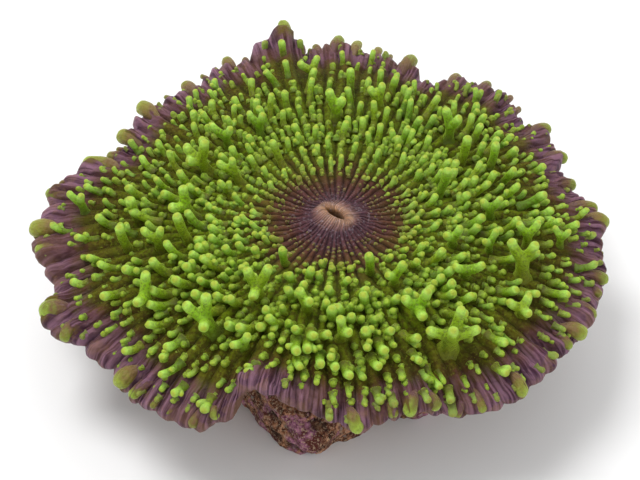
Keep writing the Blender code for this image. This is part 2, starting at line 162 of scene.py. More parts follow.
# Forked and tall tentacles: bearing, radius, girth and arms (outward, sideways, upward)
FORKS = (
    (152, 26.3, 1.6, ((0.2, 0.8, 8), (4.3, 1.6, 6), (3, 3.2, 4))),
    (136, 27.2, 1.3, ((-0.8, 0.2, 5.2), (3.1, 2, 5))),
    (151, 19.5, 1.3, ((1.5, 0.8, 6), (3.9, 2.1, 5))),
    (122, 25.7, 1.2, ((-0.4, -0.3, 5.5), (2.2, 1.6, 5))),
    (179, 23.3, 1.6, ((1.9, -0.6, 7), (4.3, 1.9, 4))),
    (176, 40.5, 1.2, ((0.4, 0.4, 4.6), (3, -0.2, 4.4))),
    (180, 32.2, 1.4, ((1, 0, 5.5),)),
    (124, 17.2, 1.1, ((2.1, 1.1, 5),)),
    (90, 24.9, 1.6, ((1.4, 1.3, 6.5), (0.6, -1.8, 5))),
    (96, 36.9, 1.3, ((1.8, -1, 4.8), (0.8, 3, 4.2))),
    (234, 22.5, 1.6, ((1.4, -1.2, 7), (-0.9, 2, 7.5), (3.8, 1.9, 3.5))),
    (231, 32.3, 2, ((0.3, -0.6, 8.5), (2.8, -3.4, 6.5), (3.8, 1.6, 4.6))),
    (211, 35.9, 1.6, ((-0.2, -0.2, 7.5), (3.4, 2.8, 4.4))),
    (190, 34.9, 1.3, ((0.9, 1.1, 6.5),)),
    (193, 30, 1.3, ((-0.2, 1.3, 6), (3, -0.3, 5))),
    (193, 25.5, 1.3, ((1.8, 0.2, 7.5),)),
    (231, 14.1, 1.1, ((1.4, 0.8, 5.5),)),
    (257, 24.2, 1.4, ((1.1, -1.2, 6), (2.6, 1.2, 5))),
    (243, 33.2, 1.3, ((1.6, 1.5, 5), (3.8, -0.6, 3.5))),
    (337, 34.3, 1.9, ((1.6, 0.8, 8), (-2.6, -0.8, 8.5))),
    (302, 26.4, 1.7, ((2.9, -0.2, 7.5), (0.9, -3.8, 6), (5.2, -2.6, 4.4))),
    (303, 35.5, 2.2, ((0.6, 1.6, 9.2), (3, -1.8, 8), (-1, -4, 5.6), (3.4, 3.4, 5.6))),
    (328, 25.8, 1.4, ((-0.8, -2.9, 4.2), (3.6, -0.2, 4.6))),
    (326, 37.9, 1.4, ((1, 0.2, 4.8), (-1.5, -2.9, 4.4), (2.6, -2.4, 3.2))),
    (349, 33.5, 1.3, ((1.6, 0.5, 6), (-2, -0.6, 6))),
    (352, 39.2, 1.1, ((1.4, -0.5, 4.5), (-1.4, 0.3, 4.5))),
    (343, 21, 1.3, ((1.4, -0.4, 5), (-1, -2.6, 4.2))),
    (302, 18.9, 1.3, ((1.4, 0.8, 6), (0.9, -2.4, 4.2))),
    (294, 15, 1.2, ((1, -1, 6),)),
    (271, 29.7, 1.4, ((1, -0.2, 6), (3, 1.4, 4.4))),
    (344, 27.3, 1.1, ((1, 0.2, 5), (-0.7, -2.1, 3.8))),
    (45, 29.1, 1.5, ((0.2, 1.2, 7), (1, -1.8, 6))),
    (73, 30.3, 1.3, ((0.9, 0.2, 6), (0.2, 2.8, 5))),
    (32, 27, 1.3, ((0.8, -0.4, 6.5),)),
    (25, 31.9, 1.2, ((0.8, 0.2, 6),)),
    (17, 19.7, 1.3, ((1.2, -1, 7.5),)),
    (1, 27, 1.3, ((1.6, -1, 5.5), (-1.8, -1.1, 5))),
    (18, 33.3, 1.1, ((1.4, -1.8, 4.5),)),
    (85, 32.6, 1.2, ((2.4, 0.2, 4.5),)),
    (103, 41.5, 1.1, ((0.8, 0.4, 3.2),)),
    (99, 44.6, 1, ((1, 0.2, 2.6),)),
    (106, 44.4, 1, ((0.8, -0.2, 2.4),)),
)

# Rows of single tentacles: radius, places round, length of the long ones, share that are long
ROWS = (
    (12.0, 48, 1.6, 0.3), (14.0, 48, 2.2, 0.6), (16.9, 48, 3.2, 0.65), (19.9, 48, 3.9, 0.7),
    (23.2, 96, 4.2, 0.5), (26.6, 96, 4.8, 0.52), (30.0, 96, 5.0, 0.52),
    (33.4, 96, 4.8, 0.46), (36.8, 96, 4.0, 0.4), (40.2, 96, 3.6, 0.34), (43.0, 96, 3.0, 0.28),
    (45.4, 96, 2.2, 0.16),
)
MIDDLE_START = 28.0
OUTER_START = 35.0
LEAN = 38.0
UPRIGHT = 0.5
FRONT_LEAN = 12.0
BACK_SLIM = 0.18
BACK_SHORT = 0.12
ROW_JITTER = (0.9, 0.6)
LEAN_JITTER = 13.0
TILT_JITTER = 16.0
OUTER_MISSING = 0.4
DOME_ANGLES = (18.0, 38.0, 58.0, 76.0)
SHAFT = 0.97
FLARE = (0.5, 0.17)
SWELL = (0.05, 0.45, 0.95)
LOW_LEAN = 1.35
FINGER_LUMPS = ((1.2, 0.2), (0.6, 0.1))

# How bright the flesh of short tentacles and beads is beside that of the long ones: painted shade, the short
# and low ones darker for the shade they stand in, forked tentacles and buds painted a little lighter
SHORT_PAINTED_LIGHT = 0.62
BEAD_PAINTED_LIGHT = 0.34
FORK_PAINTED_LIGHT = 1.15
BUD_PAINTED_LIGHT = 1.1
BUD_SHARE = 0.45
BUD_GIRTHS = (0.62, 0.85)
BUD_STEPS = 5
BUD_SIDES = 10

# Long and short tentacles: shares of the row's length, girths, sides, steps, room beside forked
# ones and painted brightness
LONG_KIND = ((0.62, 1.12), (0.66, 0.84), 12, 9, 2.7, 1.0)
SHORT_KIND = ((0.3, 0.55), (0.48, 0.64), 10, 6, 2.1, SHORT_PAINTED_LIGHT)

# Beads on the ridges: where the radial rows double, spacing near the mouth and at the margin
BEADS_START = 3.9
BEADS_END = 46.2
ROWS_DOUBLE = 20.5
BEAD_STEPS = (0.85, 2.2)
BEADS_MISSING = 0.35
BEAD_SIZE = 0.18
BEAD_GROWTH = 0.38
BEAD_GROWTH_ZONE = (4.0, 22.0)
BEAD_HEIGHTS = (0.7, 2.4)
BEAD_LEAN = LEAN - 6.0
BEAD_ROOM = 1.2
BEADS_OUTER_START = 26.0

# Rock
ROCK_TOP = 14.5
ROCK_MIDDLE = 3.0
ROCK_HALF_HEIGHT = 18.5
ROCK_LUMPS = ((12.0, 3.0), (5.5, 1.4))
ROCK_PITS = ((2.4, 0.9), (1.0, 0.45))
ROCK_REACH = (
    (0, 27), (40, 28.5), (90, 26.5), (140, 28), (185, 27), (222, 26.5), (233, 28),
    (243, 29.5), (251, 32), (264, 32.4), (273, 29.5), (290, 27.5), (315, 26.5),
)
ROCK_SIDES = 300
ROCK_ROWS = 72
ROCK_TILTS = (-9.5, 52.5)

# Forked tentacles: sides, steps of a single arm and of an arm, thickest arm, and how they fuse
FORK_SIDES = 16
SINGLE_STEPS = 10
ARM_STEPS = 8
ARM_LIMIT = 0.88
VOXEL = 0.23
RELAX_ROUNDS = 5

# Camera, as the photograph was taken
CAMERA_PLACE = (-2.8, -186.7, 207.0)
CAMERA_TILT = 45.0
CAMERA_LENS_MM = 83.8

# Studio, in metres and watts: name, place, size and power of each lamp
LAMPS = (
    ("key", (-0.2, 0.05, 0.55), 0.25, 2.0),
    ("fill", (0.4, -0.35, 0.4), 0.4, 0.8),
    ("back", (0.05, 0.5, 0.4), 0.4, 0.8),
)
WORLD_STRENGTH = 0.6
FLOOR_HALF = 1.5
FLOOR_GREY = 0.9

# Flesh under its skin: how far red, green and blue light travels, and the scale of it
SCATTER = (1.0, 0.8, 0.35)
SCATTER_DEPTH = 1.1


def smooth_step(share):
    """Ease shares from 0 to 1."""
    share = np.clip(share, 0.0, 1.0)
    return share * share * (3.0 - 2.0 * share)


def ramp(value, start, end):
    """Ease from 0 at start to 1 at end."""
    return smooth_step((value - start) / (end - start))


def around(table, bearing):
    """Columns of a table whose first column is a bearing, eased between its rows all the way round."""
    rows = np.array(table, dtype=float)
    rows = rows[np.argsort(rows[:, 0])]
    bearing = np.mod(bearing, 360.0)
    index = np.searchsorted(rows[:, 0], bearing, side="right")
    low = rows[index - 1]
    high = rows[index % len(rows)]
    span = np.mod(high[..., 0] - low[..., 0], 360.0)
    ease = smooth_step(np.mod(bearing - low[..., 0], 360.0) / span)
    return [low[..., i] + (high[..., i] - low[..., i]) * ease for i in range(1, rows.shape[1])]


def disc_point(radius, bearing):
    """Middle of the disc's thickness at radii on the flat disc and bearings."""
    share = radius / DISC_RADIUS
    edge_radius, edge_height = around(MARGIN, bearing)
    reach = DISC_RADIUS * share + (edge_radius - DISC_RADIUS) * share ** 2
    height = DISC_HEIGHT + DISC_DISH * share ** 2 - DISC_DROOP * share ** 4
    height = height + (edge_height - EDGE_HEIGHT) * share ** EDGE_CURL
    angle = np.radians(bearing)
    return np.stack([reach * np.cos(angle), reach * np.sin(angle), height], axis=-1)


def unit(vectors):
    """Vectors at length one."""
    return vectors / np.maximum(np.linalg.norm(vectors, axis=-1, keepdims=True), 1e-9)


def disc_frame(radius, bearing):
    """Directions outward, sideways and up from the disc's surface."""
    turn = np.degrees(SLOPE_STEP / np.maximum(radius, 1.0))
    before = disc_point(np.maximum(radius - SLOPE_STEP, 0.0), bearing)
    outward = unit(disc_point(radius + SLOPE_STEP, bearing) - before)
    sideways = disc_point(radius, bearing + turn) - disc_point(radius, bearing - turn)
    up = unit(np.cross(outward, sideways))
    return outward, np.cross(up, outward), up


def lumpy(points, pitch):
    """Smooth noise between -1 and 1 at points, with lumps of about a pitch."""
    flat = (points / pitch).reshape(-1, 3)
    values = np.fromiter((noise.noise(place) for place in flat.tolist()), float, len(flat))
    return values.reshape(points.shape[:-1])


def swirl(points, pitch):
    """Smooth noise vectors at points, with lumps of about a pitch."""
    return np.array([noise.noise_vector(place) for place in (points / pitch).tolist()])


def row_phase(radius, bearing):
    """Place across the radial rows, counted in rows, with a slight drift."""
    drift, ripple = (
        depth * np.sin(np.radians(count * bearing) + radius / length)
        for depth, count, length in (ROW_DRIFT, ROW_RIPPLE)
    )
    return bearing / FULL_TURN * SECTORS + drift * radius / DISC_RADIUS + ripple


def row_lobes(phase, rows, sizes, fullness):
    """Rounded lobes, each a number of rows wide and as high as its own size."""
    index = np.mod(np.floor(phase / rows), len(sizes)).astype(int)
    return np.abs(np.sin(np.pi * phase / rows)) ** fullness * sizes[index]


def ridge(radius, bearing):
    """Radial ridges, from 0 in the grooves to 1 on the crests."""
    phase = row_phase(radius, bearing)
    dice = np.random.default_rng(SEED + 4)
    wide = row_lobes(phase, 2.0, dice.uniform(*WIDE_RIDGES, SECTORS // 2), FULLNESS)
    narrow = row_lobes(phase, 1.0, dice.uniform(*NARROW_RIDGES, SECTORS), FULLNESS)
    outer = ramp(radius, *ROWS_SPLIT)
    return wide * (1.0 - outer) + narrow * outer


def on_ridge(radius, bearing):
    """Bearing of the ridge that starts out at a bearing."""
    rows = row_phase(np.array(radius), np.array(bearing)) - bearing / FULL_TURN * SECTORS
    return bearing - float(rows) * FULL_TURN / SECTORS


def edge_lobes(radius, bearing):
    """How far the lobes of the margin swell, about -0.6 to 1.2."""
    phase = row_phase(radius, bearing)
    dice = np.random.default_rng(SEED + 1)
    wide = row_lobes(phase, 2.0, dice.uniform(*WIDE_LOBES, SECTORS // 2), FULLNESS)
    narrow = row_lobes(phase, 1.0, dice.uniform(*NARROW_LOBES, SECTORS), NARROW_LOBE_FULLNESS)
    return WIDE_LOBE_SHARE * wide + NARROW_LOBE_SHARE * narrow - LOBE_LEVEL


def small_knobs(dice, widths, strengths):
    """Small ends between the swollen ones: bearing, half width in degrees, strength."""
    step = FULL_TURN / SECTORS
    places = range(SECTORS)
    return tuple(((place + 0.5) * step, dice.uniform(*widths), dice.uniform(*strengths)) for place in places)


def knob_swell(radius, bearing):
    """How far the rounded ends of the margin rise at places on it, 0 to about 1.2."""
    small = small_knobs(np.random.default_rng(SEED + 5), (1.0, 1.5), (0.1, 0.5))
    swell = np.zeros_like(bearing)
    for index, (middle, half_width, strength) in enumerate(KNOBS + small):
        length = KNOB_LENGTH * (1.0 if index < len(KNOBS) else SMALL_KNOB)
        across = (np.mod(bearing - middle + 180.0, FULL_TURN) - 180.0) / half_width
        along = (radius - KNOB_RADIUS) / length
        bowl = np.clip(1.0 - across ** 2 - along ** 2, 0.0, 1.0)
        swell = np.maximum(swell, strength * np.sqrt(bowl))
    return swell


def mouth_place(radius, bearing):
    """Plan position of the mouth's rings, stretched to a slit across the middle of the disc."""
    share = smooth_step(radius / MOUTH_SPREAD)
    long_way = MOUTH_LONG + (1.0 - MOUTH_LONG) * share
    narrow_way = MOUTH_NARROW + (1.0 - MOUTH_NARROW) * share
    turn = math.radians(MOUTH_BEARING)
    angle = np.radians(bearing) - turn
    along = radius * long_way * np.cos(angle)
    across = radius * narrow_way * np.sin(angle)
    x = along * math.cos(turn) - across * math.sin(turn)
    y = along * math.sin(turn) + across * math.cos(turn)
    return x, y


def profile_rings():
    """Radius and height of every ring of the body, eased from the profile's points."""
    rings = []
    for (radius, height, count), (next_radius, next_height, _) in zip(PROFILE, PROFILE[1:]):
        for step in range(count):
            share = step / count
            rings.append((radius + (next_radius - radius) * share, height + (next_height - height) * share))
    rings.append(PROFILE[-1][:2])
    rings = np.array(rings)
    for _ in range(2):
        rings[1:-1] = rings[:-2] * 0.25 + rings[1:-1] * 0.5 + rings[2:] * 0.25
    return rings


def grid_faces(rows, columns):
    """Faces of a grid of rings that is closed round and ends in one point at both ends."""
    start = np.arange(rows - 1)[:, None] * columns + np.arange(columns)[None, :]
    ahead = np.arange(rows - 1)[:, None] * columns + (np.arange(columns)[None, :] + 1) % columns
    quads = np.stack([start, start + columns, ahead + columns, ahead], axis=-1).reshape(-1, 4)
    first = rows * columns
    last = first + 1
    round_first = np.arange(columns)
    round_next = (round_first + 1) % columns
    low = (rows - 1) * columns
    caps = [(first, int(a), int(b)) for a, b in zip(round_first, round_next)]
    caps += [(last, int(b) + low, int(a) + low) for a, b in zip(round_first, round_next)]
    return quads.tolist() + caps


def add_piece(name, points, faces, values, material, node):
    """One piece of the visual model, from points in millimetres, with its surface values."""
    mesh = bpy.data.meshes.new(name)
    mesh.from_pydata((points * MM).tolist(), [], faces)
    for key, value in values.items():
        mesh.attributes.new(key, "FLOAT", "POINT").data.foreach_set("value", value)
    mesh.shade_smooth()
    mesh.materials.append(material)
    piece = add_to_scene(name, mesh)
    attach(piece, "root")
    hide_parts(node)
    return piece


def folds(flat, bearing, count, pitch, bend):
    """Radial folds, from -1 to 1."""
    return np.sin(np.radians(bearing * count) + lumpy(flat, pitch) * bend)


def disc_relief(flat, radius, bearing, crest, lobes, knobs):
    """How far ridges, lobes, fine folds and lumps lift the skin on top of the disc."""
    margin = ramp(radius, *MARGIN_ZONE)
    relief = margin * LOBE_RISE * lobes + KNOB_RISE * knobs
    for rise, start, end in RIDGE_RISES:
        relief += rise * (crest - RIDGE_LEVEL) * ramp(radius, start, end)
    bend_pitch, bend = STRIAE_BEND
    striae = np.sin(np.pi * STRIAE_PER_ROW * row_phase(radius, bearing) + lumpy(flat, bend_pitch) * bend)
    shallow, deep = STRIAE_DEPTHS
    relief += (shallow + deep * margin) * striae * ramp(radius, *STRIAE_ZONE)
    shallow, deep = GRAIN_DEPTHS
    relief += (shallow + deep * crest) * lumpy(flat, GRAIN_PITCH) * ramp(radius, *GRAIN_ZONE)
    lip = ramp(radius, *MOUTH_FOLDS_START) * (1.0 - ramp(radius, *MOUTH_FOLDS_END))
    return relief + MOUTH_FOLD_DEPTH * folds(flat, bearing, *MOUTH_FOLDS) * lip


def place_skin(flat, reach, radius, bearing, height, relief):
    """Points of the body's skin: the bent disc, the upright column and the slit mouth."""
    up = disc_frame(reach, bearing)[2]
    bent = disc_point(reach, bearing) + up * (height + relief)[..., None]
    upright = flat + np.array([0.0, 0.0, DISC_HEIGHT])
    straight = smooth_step((-height - COLUMN_BLEND[0]) / (COLUMN_BLEND[1] - COLUMN_BLEND[0]))
    points = bent + (upright - bent) * straight[..., None]
    at_mouth = (radius < MOUTH_ZONE) & (height > -COLUMN_BLEND[1])
    x, y = mouth_place(radius, bearing)
    mouth = np.stack([x, y, disc_point(radius, bearing)[..., 2] + height + relief], axis=-1)
    points = np.where(at_mouth[..., None], mouth, points)
    low, high = COLUMN_WRINKLE_HEIGHTS
    column = (height < high) & (height > low) & (radius > COLUMN_WRINKLE_START)
    wrinkle = COLUMN_WRINKLE * folds(flat, bearing, *COLUMN_FOLDS)
    points[..., :2] *= 1.0 + np.where(column, wrinkle, 0.0)[..., None]
    return points


def make_disc(material):
    """Foot, column, ribbed disc, margin and mouth as one closed body."""
    rings = profile_rings()[1:-1]
    bearing = np.arange(COLUMNS) * FULL_TURN / COLUMNS
    radius, bearing = np.meshgrid(rings[:, 0], bearing, indexing="ij")
    height = np.repeat(rings[:, 1:2], COLUMNS, axis=1)
    angle = np.radians(bearing)
    flat = np.stack([radius * np.cos(angle), radius * np.sin(angle), height], axis=-1)

    crest = ridge(radius, bearing)
    lobes = edge_lobes(radius, bearing)
    knobs = knob_swell(radius, bearing)
    above = np.clip(height / DISC_HALF_THICKNESS, -0.5, 1.0)
    below = height < -DISC_HALF_THICKNESS - 0.05
    under = -UNDER_DEPTH * (crest - 0.5) * ramp(radius, *UNDER_ZONE)
    relief = np.where(below, under, disc_relief(flat, radius, bearing, crest, lobes, knobs) * above)
    spread = (EDGE_REACHES[0] * lobes + EDGE_REACHES[1] * knobs) * (height > EDGE_LOW)
    reach = radius + ramp(radius, *EDGE_ZONE) * spread
    points = place_skin(flat, reach, radius, bearing, height, relief)
    ends = np.array([[0.0, 0.0, DISC_HEIGHT + PROFILE[end][1]] for end in (0, -1)])
    points = np.concatenate([points.reshape(-1, 3), ends])

    margin = ramp(radius, *MARGIN_ZONE)
    # Ribs: 0 in the creases between the margin's lobes, 1 on their tops; the disc material paints shade into
    # the creases and light onto the tops from this
    ribs = np.clip(RIB_PAINTED_SHADE[0] + lobes * RIB_PAINTED_SHADE[1], 0.0, 1.0)
    top = np.where((height > 0.0) | (radius < MOUTH_ZONE), 1.0, 0.0)
    top = np.where(radius > EDGE_SHADE_RADIUS, ramp(height, -1.0, 0.2), top)
    surface = {
        "ring": (radius / DISC_RADIUS, 0.0),
        "crest": (crest * (1.0 - margin) + margin * ribs, 0.0),
        "green": (knobs * KNOB_GREEN * (height > -0.6), 0.0),
        "top": (top, 1.0),
        # depth: 1 down in the mouth's pit, where the disc material paints shade
        "depth": (ramp(-height, -3.0, -1.4) * (radius < 1.2), 1.0),
    }
    values = {key: np.append(value.ravel(), [in_mouth, 0.0]) for key, (value, in_mouth) in surface.items()}
    return add_piece("disc", points, grid_faces(len(rings), COLUMNS), values, material, "polyp")


class Tubes:
    """Closed round-ended tubes gathered into one mesh."""

    def __init__(self):
        self.points = []
        self.faces = []
        self.values = {"rise": [], "apex": [], "ring": [], "tone": [], "painted_light_and_swell": []}
        self.count = 0

    def add(self, path, radii, sideways, sides, ring, tone, painted_light_and_swell=1.0):
        """A tube with a dome on its last point. The path's first point lies in the flesh."""
        heading = unit(path[-1] - path[-2])
        dome = np.radians(DOME_ANGLES)
        end = radii[-1]
        path = np.concatenate([path, path[-1] + heading * (end * np.sin(dome))[:, None]])
        radii = np.concatenate([radii, end * np.cos(dome)])
        tip = path[-1 - len(DOME_ANGLES)] + heading * end
        slopes = unit(np.gradient(path, axis=0))
        side = unit(sideways - slopes * (slopes @ sideways)[:, None])
        other = np.cross(slopes, side)
        angle = np.arange(sides) * math.tau / sides
        across = np.cos(angle)[None, :, None] * side[:, None]
        along_other = np.sin(angle)[None, :, None] * other[:, None]
        rings = path[:, None] + (across + along_other) * radii[:, None, None]
        rows = len(path)
        points = np.concatenate([rings.reshape(-1, 3), path[:1], tip[None]])
        steps = np.linalg.norm(np.diff(np.concatenate([path, tip[None]]), axis=0), axis=1)
        along = np.concatenate([[0.0], np.cumsum(steps)])
        share = along / along[-1]
        rise = np.concatenate([np.repeat(share[:-1], sides), [0.0, 1.0]])
        apex = np.concatenate([np.linalg.norm(rings.reshape(-1, 3) - tip, axis=1), [along[-1], 0.0]])
        self.faces += [tuple(v + self.count for v in face) for face in tube_faces(rows, sides)]
        self.points.append(points)
        self.values["rise"].append(rise)
        self.values["apex"].append(apex)
        for name, value in (("ring", ring / DISC_RADIUS), ("tone", tone), ("painted_light_and_swell", painted_light_and_swell)):
            self.values[name].append(np.full(len(points), value))
        self.count += len(points)

    def piece(self, name, material):
        """The gathered tubes as a piece."""
        values = {key: np.concatenate(value) for key, value in self.values.items()}
        points = np.concatenate(self.points)
        free = np.clip(values["rise"], 0.0, 0.6)[:, None]
        points += sum(swirl(points, pitch) * depth for pitch, depth in FINGER_LUMPS) * free
        return add_piece(name, points, self.faces, values, material, "polyp")


FACES_KEPT = {}


def tube_faces(rows, sides):
    """Faces of a closed tube with outward normals."""
    key = (rows, sides)
    if key not in FACES_KEPT:
        FACES_KEPT[key] = [tuple(reversed(face)) for face in grid_faces(rows, sides)]
    return FACES_KEPT[key]


def curved_path(foot, control, tip, steps):
    """Points of a curve that leaves the foot towards the control point and ends at the tip."""
    share = np.linspace(0.0, 1.0, steps)[:, None]
    return foot * (1 - share) ** 2 + control * 2 * share * (1 - share) + tip * share ** 2


def finger_radii(girth, steps):
    """Radii along a tentacle: a flared base, a slim neck and a swollen end."""
    share = np.linspace(0.0, 1.0, steps)
    flare = FLARE[0] * np.exp(-((share / FLARE[1]) ** 2))
    swell = SWELL[0] * ramp(share, SWELL[1], SWELL[2])
    return girth * (SHAFT + flare + swell)


def surface_foot(radius, bearing):
    """Place on top of the disc and its frame, for one site."""
    radius = np.array(float(radius))
    bearing = np.array(float(bearing))
    outward, sideways, up = disc_frame(radius, bearing)
    return disc_point(radius, bearing) + up * DISC_HALF_THICKNESS, outward, sideways, up


def add_finger(tubes, radius, bearing, length, girth, lean, tilt, sides, steps, tone, painted_light_and_swell):
    """One single tentacle on the disc, leaning outward and straightening towards its tip."""
    foot, outward, sideways, up = surface_foot(radius, bearing)
    lean = math.radians(lean)
    heading = unit(up * math.cos(lean) + outward * math.sin(lean) + sideways * math.sin(math.radians(tilt)))
    low = unit(up * math.cos(lean * LOW_LEAN) + outward * math.sin(lean * LOW_LEAN))
    start = foot - low * min(0.7, length * 0.4) - outward * 0.15 * length
    shaft = max(length - girth, 0.25 * length)
    path = curved_path(start, foot + low * shaft * 0.35, foot + heading * shaft, steps)
    tubes.add(path, finger_radii(girth, steps), sideways, sides, radius, tone, painted_light_and_swell)
    return path


def add_bud(tubes, path, girth, turn, radius, tone):
    """A short arm out of the side of a tentacle, at a turn about it."""
    heading = unit(path[-1] - path[0])
    side = unit(np.cross(heading, (0.3, 0.2, 1.0)))
    away = side * math.cos(turn) + np.cross(heading, side) * math.sin(turn)
    start = path[len(path) // 2]
    tip = start + (away + heading * 0.7) * girth * 1.9
    arm = curved_path(start, start + away * girth * 1.3, tip, BUD_STEPS)
    tubes.add(arm, np.full(BUD_STEPS, girth), heading, BUD_SIDES, radius, tone, BUD_PAINTED_LIGHT)


def fork_sites():
    """Feet and tips of the forked tentacles, with their girth."""
    sites = []
    for bearing, radius, girth, arms in FORKS:
        foot = surface_foot(radius, bearing)[0]
        angle = math.radians(bearing)
        outward = np.array([math.cos(angle), math.sin(angle), 0.0])
        sideways = np.array([-math.sin(angle), math.cos(angle), 0.0])
        up = np.array([0.0, 0.0, 1.0])
        tips = [foot + outward * out + sideways * side + up * rise for out, side, rise in arms]
        sites.append((foot, outward, sideways, girth, tips, radius))
    return sites


def near_forks(place, sites, clearance):
    """Whether a place lies under or beside a forked tentacle."""
    for foot, _, _, _, tips, _ in sites:
        for tip in tips:
            line = (tip - foot)[:2] * 0.8
            offset = (place - foot)[:2]
            share = np.clip(offset @ line / max(line @ line, 1e-6), 0.0, 1.0)
            if np.linalg.norm(offset - line * share) < clearance:
                return True
    return False


def row_lean(radius, bearing):
    """Lean of the tentacles at a place: upright at the front and back, drooping at the front edge."""
    toward_back = math.sin(math.radians(bearing))
    drooping = float(ramp(radius, 27.0, 37.0)) * float(ramp(-toward_back, 0.0, 0.6))
    return LEAN * (1.0 - UPRIGHT * abs(toward_back) * (1.0 - drooping)) + FRONT_LEAN * drooping


def add_row(tubes, dice, sites, index, radius, places, length, long_share):
    """One ring of single tentacles, long and short in turn."""
    inner = float(ramp(radius, 12.0, 24.0))
    outer = float(ramp(radius, 35.0, 43.0))
    for place in range(places):
        bearing = (place + 0.5) * FULL_TURN / places + dice.uniform(-ROW_JITTER[1], ROW_JITTER[1])
        spot = radius + dice.uniform(-ROW_JITTER[0], ROW_JITTER[0])
        long_one = dice.random() < long_share * (1.6 if (place + index) % 2 == 0 else 0.4)
        reaches, girths, sides, steps, room, painted_light_and_swell = LONG_KIND if long_one else SHORT_KIND
        back = float(ramp(math.sin(math.radians(bearing)), -0.3, 0.5))
        reach = length * dice.uniform(*reaches) * (1.0 - BACK_SHORT * back)
        girth = dice.uniform(*girths) * (1.0 - BACK_SLIM * back)
        girth *= (0.72 + 0.28 * inner) * (1.0 - 0.12 * outer)
        lean = row_lean(radius, bearing) + dice.uniform(-LEAN_JITTER, LEAN_JITTER)
        tilt = dice.uniform(-TILT_JITTER, TILT_JITTER)
        tone = dice.random()
        chance = dice.random()
        foot = surface_foot(spot, bearing)[0]
        if near_forks(foot, sites, room) or chance > 1.0 - OUTER_MISSING * outer:
            continue
        path = add_finger(tubes, spot, bearing, reach, girth, lean, tilt, sides, steps, tone, painted_light_and_swell)
        if long_one and chance < BUD_SHARE:
            add_bud(tubes, path, girth * dice.uniform(*BUD_GIRTHS), dice.uniform(0, math.tau), spot, tone)


def make_tentacles(material, sites):
    """Single tentacles in radial rows."""
    dice = np.random.default_rng(SEED)
    pieces = {"tentacles_inner": Tubes(), "tentacles_middle": Tubes(), "tentacles_outer": Tubes()}
    for index, (radius, places, length, long_share) in enumerate(ROWS):
        name = "tentacles_middle" if radius < OUTER_START else "tentacles_outer"
        if radius < MIDDLE_START:
            name = "tentacles_inner"
        add_row(pieces[name], dice, sites, index, radius, places, length, long_share)
    for name, tubes in pieces.items():
        tubes.piece(name, material)


def make_beads(material, sites):
    """Small beads in close rows along the ridges, from the mouth to the margin."""
    dice = np.random.default_rng(SEED + 3)
    inner = Tubes()
    outer = Tubes()
    for row in range(SECTORS):
        radius = BEADS_START + dice.uniform(0.0, 1.0)
        if row % 2:
            radius = ROWS_DOUBLE + dice.uniform(-1.0, 1.0)
        while radius < BEADS_END:
            share = (radius - BEADS_START) / (BEADS_END - BEADS_START)
            count = row + 0.5 if radius > ROWS_DOUBLE else row + 1.0
            bearing = on_ridge(radius, (count + dice.uniform(-0.16, 0.16)) * FULL_TURN / SECTORS)
            size = (BEAD_SIZE + BEAD_GROWTH * float(ramp(radius, *BEAD_GROWTH_ZONE))) * dice.uniform(0.7, 1.2)
            size *= 1.0 - 0.35 * float(ramp(radius, 40.0, 46.0))
            height = size * dice.uniform(*BEAD_HEIGHTS)
            tone = dice.random()
            missing = 1.0 - float(ramp(radius, 10.0, 18.0)) + float(ramp(radius, 20.0, 26.0))
            bare = tone < BEADS_MISSING * missing
            if not bare and not near_forks(surface_foot(radius, bearing)[0], sites, BEAD_ROOM):
                tubes = inner if radius < BEADS_OUTER_START else outer
                add_finger(tubes, radius, bearing, height, size, BEAD_LEAN, 0.0, 8, 3, tone, BEAD_PAINTED_LIGHT)
            radius += (BEAD_STEPS[0] + (BEAD_STEPS[1] - BEAD_STEPS[0]) * share) * dice.uniform(0.8, 1.2)
    inner.piece("beads_inner", material)
    outer.piece("beads_outer", material)


def make_knobs(material):
    """Rounded swollen ends that lie along the edge of the disc."""
    dice = np.random.default_rng(SEED + 6)
    tubes = Tubes()
    share = np.linspace(0.0, 1.0, 9)
    small = small_knobs(dice, (0.8, 1.2), (0.2, 0.5))
    for index, (bearing, half_width, strength) in enumerate(KNOBS + small):
        big = index < len(KNOBS)
        tone = dice.random()
        turn = dice.uniform(-2.0, 2.0)
        start = dice.uniform(*(KNOB_STARTS if big else KNOB_SHORT_STARTS))
        away = min(abs((bearing - knob[0] + 180.0) % FULL_TURN - 180.0) for knob in KNOBS)
        if not big and (away < KNOB_SPACE or tone > SMALL_KNOB_SHARE):
            continue
        width = math.radians(half_width) * KNOB_RADIUS * (0.92 if big else SMALL_KNOB)
        angle = math.radians(bearing)
        end = KNOB_END + KNOB_BACK * float(ramp(math.sin(angle), -0.1, 0.4))
        radius = start + (end - start) * share
        bearings = bearing + turn * (1.0 - share)
        swell = strength * KNOB_LIFT * np.sin(share * math.pi * 0.66)
        lift = DISC_HALF_THICKNESS * 0.35 + swell - KNOB_SINK * (1.0 - share) ** 2
        path = disc_point(radius, bearings) + disc_frame(radius, bearings)[2] * lift[:, None]
        radii = width * (0.5 + 0.5 * smooth_step(share * 1.3))
        sideways = np.array([-math.sin(angle), math.cos(angle), 0.0])
        tubes.add(path, radii, sideways, 18, KNOB_RADIUS, tone, strength)
    tubes.piece("margin_knobs", material)


